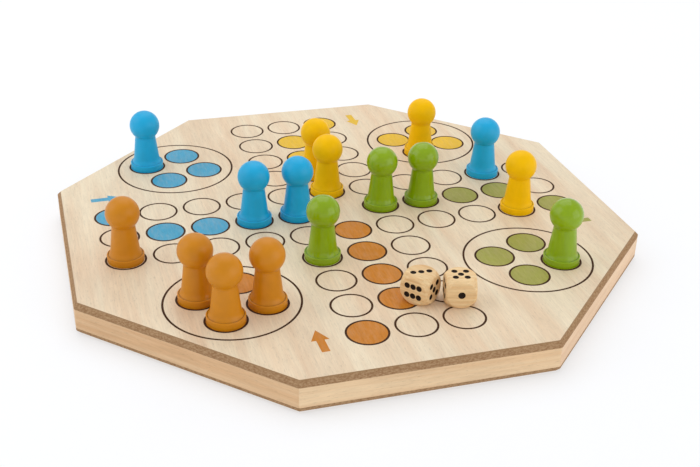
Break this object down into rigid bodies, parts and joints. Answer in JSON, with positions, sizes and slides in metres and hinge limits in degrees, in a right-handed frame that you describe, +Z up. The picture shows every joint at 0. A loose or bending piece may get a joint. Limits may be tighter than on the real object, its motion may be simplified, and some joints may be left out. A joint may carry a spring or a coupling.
{
  "type": "board game",
  "caption": "Octagonal two-sided wooden game board with a mitred rail frame, printed track of circles, turned pawns and rounded dice.",
  "frame": {"origin": "middle of the underside, on the surface that the board lies on", "axes": "+Z up out of the played face, +X towards the right flat and +Y towards the back flat, with the green arm of the track along +X"},
  "size_m": [0.373, 0.373, 0.0646],
  "materials": {
    "face_veneer": "pale veneer, printed track, clear matt lacquer",
    "fibreboard": "bare sanded fibreboard edge",
    "rail_wood": "sanded solid softwood, satin clear coat",
    "blue_paint": "satin blue paint on turned wood",
    "orange_paint": "satin orange stain on turned wood",
    "yellow_paint": "satin yellow paint on turned wood",
    "green_paint": "glossy green lacquer on turned wood",
    "dice_wood": "smooth tumbled hardwood, clear wax",
    "printing_ink": "screen printed ink, brown lines and coloured discs",
    "pip_paint": "dark brown paint in drilled pips"
  },
  "bodies": {
    "board": {"top_veneer": "face_veneer", "top_panel": "fibreboard", "rail_right": "rail_wood", "rail_back_right": "rail_wood", "rail_back": "rail_wood", "rail_back_left": "rail_wood", "rail_left": "rail_wood", "rail_front_left": "rail_wood", "rail_front": "rail_wood", "rail_front_right": "rail_wood", "centre_brace": "rail_wood", "bottom_panel": "fibreboard", "bottom_veneer": "face_veneer"},
    "blue_pawn_1": {"blue_pawn_1": "blue_paint"},
    "blue_pawn_2": {"blue_pawn_2": "blue_paint"},
    "blue_pawn_3": {"blue_pawn_3": "blue_paint"},
    "blue_pawn_4": {"blue_pawn_4": "blue_paint"},
    "orange_pawn_1": {"orange_pawn_1": "orange_paint"},
    "orange_pawn_2": {"orange_pawn_2": "orange_paint"},
    "orange_pawn_3": {"orange_pawn_3": "orange_paint"},
    "orange_pawn_4": {"orange_pawn_4": "orange_paint"},
    "yellow_pawn_1": {"yellow_pawn_1": "yellow_paint"},
    "yellow_pawn_2": {"yellow_pawn_2": "yellow_paint"},
    "yellow_pawn_3": {"yellow_pawn_3": "yellow_paint"},
    "yellow_pawn_4": {"yellow_pawn_4": "yellow_paint"},
    "green_pawn_1": {"green_pawn_1": "green_paint"},
    "green_pawn_2": {"green_pawn_2": "green_paint"},
    "green_pawn_3": {"green_pawn_3": "green_paint"},
    "green_pawn_4": {"green_pawn_4": "green_paint"},
    "left_die": {"left_die": "dice_wood"},
    "right_die": {"right_die": "dice_wood"}
  },
  "joints": [
    {"name": "blue_pawn_1_lift", "type": "slide", "parent": "board", "child": "blue_pawn_1", "axis": [0, 0, 1], "range_m": [0, 0.06]},
    {"name": "blue_pawn_2_lift", "type": "slide", "parent": "board", "child": "blue_pawn_2", "axis": [0, 0, 1], "range_m": [0, 0.06]},
    {"name": "blue_pawn_3_lift", "type": "slide", "parent": "board", "child": "blue_pawn_3", "axis": [0, 0, 1], "range_m": [0, 0.06]},
    {"name": "blue_pawn_4_lift", "type": "slide", "parent": "board", "child": "blue_pawn_4", "axis": [0, 0, 1], "range_m": [0, 0.06]},
    {"name": "orange_pawn_1_lift", "type": "slide", "parent": "board", "child": "orange_pawn_1", "axis": [0, 0, 1], "range_m": [0, 0.06]},
    {"name": "orange_pawn_2_lift", "type": "slide", "parent": "board", "child": "orange_pawn_2", "axis": [0, 0, 1], "range_m": [0, 0.06]},
    {"name": "orange_pawn_3_lift", "type": "slide", "parent": "board", "child": "orange_pawn_3", "axis": [0, 0, 1], "range_m": [0, 0.06]},
    {"name": "orange_pawn_4_lift", "type": "slide", "parent": "board", "child": "orange_pawn_4", "axis": [0, 0, 1], "range_m": [0, 0.06]},
    {"name": "yellow_pawn_1_lift", "type": "slide", "parent": "board", "child": "yellow_pawn_1", "axis": [0, 0, 1], "range_m": [0, 0.06]},
    {"name": "yellow_pawn_2_lift", "type": "slide", "parent": "board", "child": "yellow_pawn_2", "axis": [0, 0, 1], "range_m": [0, 0.06]},
    {"name": "yellow_pawn_3_lift", "type": "slide", "parent": "board", "child": "yellow_pawn_3", "axis": [0, 0, 1], "range_m": [0, 0.06]},
    {"name": "yellow_pawn_4_lift", "type": "slide", "parent": "board", "child": "yellow_pawn_4", "axis": [0, 0, 1], "range_m": [0, 0.06]},
    {"name": "green_pawn_1_lift", "type": "slide", "parent": "board", "child": "green_pawn_1", "axis": [0, 0, 1], "range_m": [0, 0.06]},
    {"name": "green_pawn_2_lift", "type": "slide", "parent": "board", "child": "green_pawn_2", "axis": [0, 0, 1], "range_m": [0, 0.06]},
    {"name": "green_pawn_3_lift", "type": "slide", "parent": "board", "child": "green_pawn_3", "axis": [0, 0, 1], "range_m": [0, 0.06]},
    {"name": "green_pawn_4_lift", "type": "slide", "parent": "board", "child": "green_pawn_4", "axis": [0, 0, 1], "range_m": [0, 0.06]},
    {"name": "left_die_lift", "type": "slide", "parent": "board", "child": "left_die", "axis": [0, 0, 1], "range_m": [0, 0.06]},
    {"name": "right_die_lift", "type": "slide", "parent": "board", "child": "right_die", "axis": [0, 0, 1], "range_m": [0, 0.06]}
  ]
}
